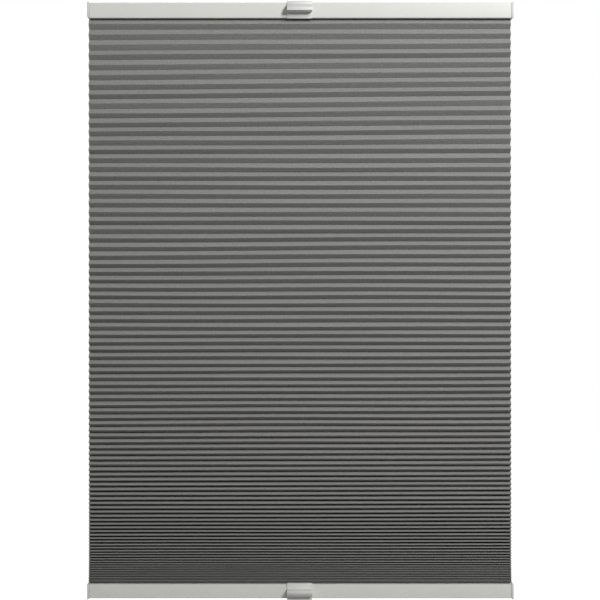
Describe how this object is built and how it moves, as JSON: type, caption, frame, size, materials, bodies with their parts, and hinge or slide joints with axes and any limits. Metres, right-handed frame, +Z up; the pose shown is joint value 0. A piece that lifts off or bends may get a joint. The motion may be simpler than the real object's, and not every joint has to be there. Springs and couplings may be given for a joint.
{
  "type": "pleated blind",
  "caption": "Honeycomb pleated blind with two aluminium rails and clip-on handles; the bottom rail slides up as the fabric folds.",
  "frame": {"origin": "middle of the blind's bounding box with the fabric down", "axes": "+X along the rails to the viewer's right, -Y towards the room, +Z up"},
  "size_m": [0.6, 0.0376, 0.842],
  "materials": {
    "rail_aluminium": "extrusion with a satin light grey powder coat",
    "cap_plastic": "fine matt grey moulding",
    "handle_plastic": "light grey moulding with a soft sheen",
    "blind_fabric": "grey non-woven polyester, pleated and glued into cells",
    "strip_plastic": "plain extruded strip",
    "guide_plastic": "plain grey moulding",
    "spring_steel": "bright spring wire"
  },
  "bodies": {
    "top_set": {"top_rail": "rail_aluminium", "top_left_cap": "cap_plastic", "top_right_cap": "cap_plastic", "top_handle": "handle_plastic", "honeycomb_fabric": "blind_fabric", "top_fabric_strip": "strip_plastic", "top_left_cord_guide": "guide_plastic", "top_right_cord_guide": "guide_plastic", "top_left_eyelet": "guide_plastic", "top_right_eyelet": "guide_plastic", "left_tension_spring": "spring_steel", "right_tension_spring": "spring_steel", "left_spring_plug": "guide_plastic", "right_spring_plug": "guide_plastic", "spring_anchor": "guide_plastic"},
    "bottom_set": {"bottom_rail": "rail_aluminium", "bottom_left_cap": "cap_plastic", "bottom_right_cap": "cap_plastic", "bottom_handle": "handle_plastic", "bottom_fabric_strip": "strip_plastic", "bottom_left_cord_guide": "guide_plastic", "bottom_right_cord_guide": "guide_plastic", "bottom_left_eyelet": "guide_plastic", "bottom_right_eyelet": "guide_plastic"}
  },
  "joints": [
    {"name": "bottom_rail_slide", "type": "slide", "parent": "top_set", "child": "bottom_set", "axis": [0, 0, 1], "range_m": [0, 0.69], "deforming": ["honeycomb_fabric"]}
  ]
}
